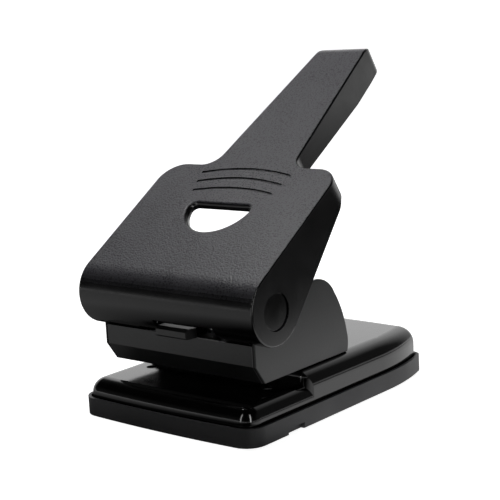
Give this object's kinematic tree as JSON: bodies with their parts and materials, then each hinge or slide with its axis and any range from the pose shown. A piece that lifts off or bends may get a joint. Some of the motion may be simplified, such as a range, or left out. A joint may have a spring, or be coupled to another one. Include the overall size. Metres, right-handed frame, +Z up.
{
  "type": "hole punch",
  "caption": "Desk hole punch: wide sloping lever with a long handle turns on a front axle and drives punch pins through paper into dies over a hinged chip tray.",
  "frame": {"origin": "on the desk under the chip tray, midway between the two punch pins and 41.6 mm behind their line", "axes": "+Z up, the paper goes in at the front towards -Y, the handle points to +Y and up, +X to the machine's right along the pivot axle"},
  "size_m": [0.1204, 0.1861, 0.182],
  "materials": {
    "lever_coating": "pebbled dark grey coating",
    "body_paint": "satin dark grey paint",
    "base_gloss": "gloss black enamel",
    "tray_plastic": "matte dark grey",
    "bright_steel": "ground steel",
    "zinc_steel": "zinc plated",
    "cap_gloss": "gloss black",
    "lock_plastic": "satin black"
  },
  "bodies": {
    "base": {"base_shell": "base_gloss", "die_plate": "zinc_steel", "die_rivets": "zinc_steel", "guide_plate": "zinc_steel", "frame_screws": "zinc_steel", "frame_nuts": "zinc_steel", "cheek_left": "body_paint", "cheek_right": "body_paint", "upper_guide": "zinc_steel", "bridge_pegs": "body_paint", "guide_bushes": "bright_steel", "front_plate": "body_paint", "rear_cover": "body_paint", "pivot_axle": "bright_steel", "axle_washers": "zinc_steel", "axle_clips": "zinc_steel", "hinge_rod": "bright_steel", "hinge_brackets": "zinc_steel", "return_spring_left": "bright_steel", "return_spring_right": "bright_steel"},
    "tray": {"chip_tray": "tray_plastic"},
    "lever": {"lever_shell": "lever_coating", "axle_cap_left": "cap_gloss", "axle_cap_right": "cap_gloss", "lever_arm_left": "zinc_steel", "lever_arm_right": "zinc_steel", "arm_bridge": "zinc_steel", "bridge_rivets": "zinc_steel", "press_bar": "bright_steel"},
    "pin_left": {"punch_pin_left": "bright_steel", "pin_collar_left": "zinc_steel"},
    "pin_right": {"punch_pin_right": "bright_steel", "pin_collar_right": "zinc_steel"},
    "lock": {"lock_knob": "lock_plastic", "lock_blade": "zinc_steel"}
  },
  "joints": [
    {"name": "lever_hinge", "type": "hinge", "parent": "base", "child": "lever", "pos_m": [0, -0.0551, 0.0642], "axis": [-1, 0, 0], "range_deg": [0, 42], "stiffness_Nm_per_rad": 1, "springref_deg": -34.38},
    {"name": "pin_left_slide", "type": "slide", "parent": "base", "child": "pin_left", "axis": [0, 0, -1], "range_m": [0, 0.01038], "deforming": ["return_spring_left"]},
    {"name": "pin_right_slide", "type": "slide", "parent": "base", "child": "pin_right", "axis": [0, 0, -1], "range_m": [0, 0.01038], "deforming": ["return_spring_right"]},
    {"name": "lock_slide", "type": "slide", "parent": "base", "child": "lock", "axis": [1, 0, 0], "range_m": [0, 0.012]},
    {"name": "tray_hinge", "type": "hinge", "parent": "base", "child": "tray", "pos_m": [0, 0.0765, 0.0092], "axis": [1, 0, 0], "range_deg": [0, 29]}
  ],
  "couplings": [
    {"joint": "pin_left_slide", "follows": "lever_hinge", "m_per_rad": 0.014139},
    {"joint": "pin_right_slide", "follows": "lever_hinge", "m_per_rad": 0.014139}
  ]
}
